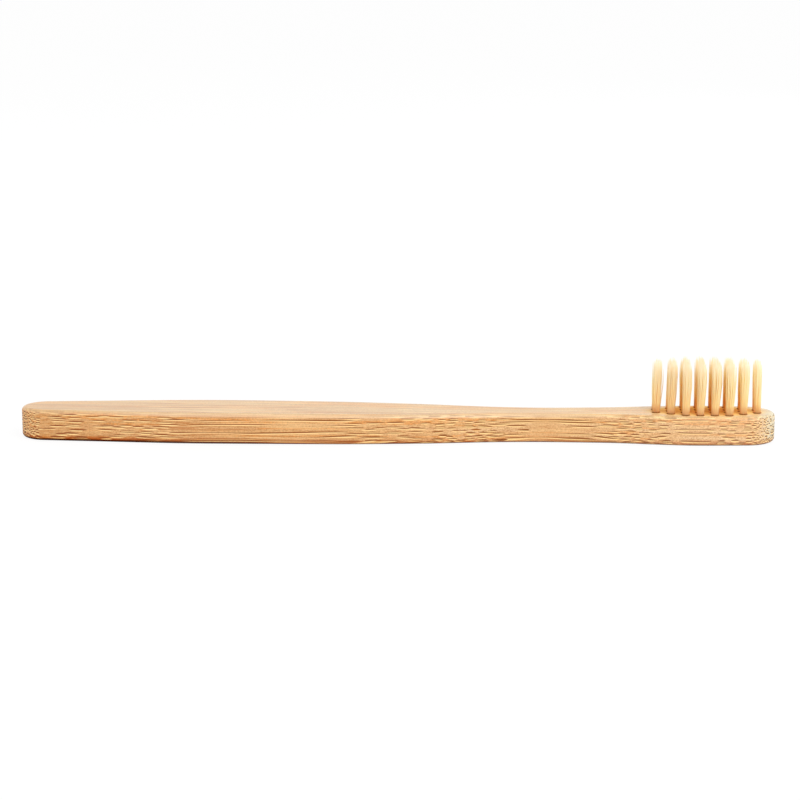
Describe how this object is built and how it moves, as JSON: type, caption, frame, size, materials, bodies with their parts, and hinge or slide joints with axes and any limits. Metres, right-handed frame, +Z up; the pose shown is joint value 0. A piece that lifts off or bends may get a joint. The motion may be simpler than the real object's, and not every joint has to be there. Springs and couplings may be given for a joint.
{
  "type": "manual toothbrush",
  "caption": "Manual toothbrush with a waisted one-piece bamboo handle and staple-set nylon tufts in a small rounded head.",
  "frame": {"origin": "On the flat back face of the handle, under the middle of its length, so at the bottom centre of the brush as it lies on its back", "axes": "+X along the handle from the tail to the head; +Y across the width; +Z up from the back face, the way the bristles point"},
  "size_m": [0.145, 0.0126, 0.0159],
  "materials": {
    "bamboo": "fine-sanded bamboo with long fibres and a thin matt wax coat",
    "nylon": "translucent cream filaments with rounded pale tips",
    "anchor_metal": "drawn flat wire"
  },
  "bodies": {
    "root": {"bamboo_handle": "bamboo", "anchor_wires": "anchor_metal", "tuft_c1_r1": "nylon", "tuft_c1_r2": "nylon", "tuft_c2_r1": "nylon", "tuft_c2_r2": "nylon", "tuft_c2_r3": "nylon", "tuft_c3_r1": "nylon", "tuft_c3_r2": "nylon", "tuft_c3_r3": "nylon", "tuft_c3_r4": "nylon", "tuft_c4_r1": "nylon", "tuft_c4_r2": "nylon", "tuft_c4_r3": "nylon", "tuft_c4_r4": "nylon", "tuft_c5_r1": "nylon", "tuft_c5_r2": "nylon", "tuft_c5_r3": "nylon", "tuft_c5_r4": "nylon", "tuft_c6_r1": "nylon", "tuft_c6_r2": "nylon", "tuft_c6_r3": "nylon", "tuft_c6_r4": "nylon", "tuft_c7_r1": "nylon", "tuft_c7_r2": "nylon", "tuft_c7_r3": "nylon", "tuft_c8_r1": "nylon", "tuft_c8_r2": "nylon"}
  },
  "joints": []
}
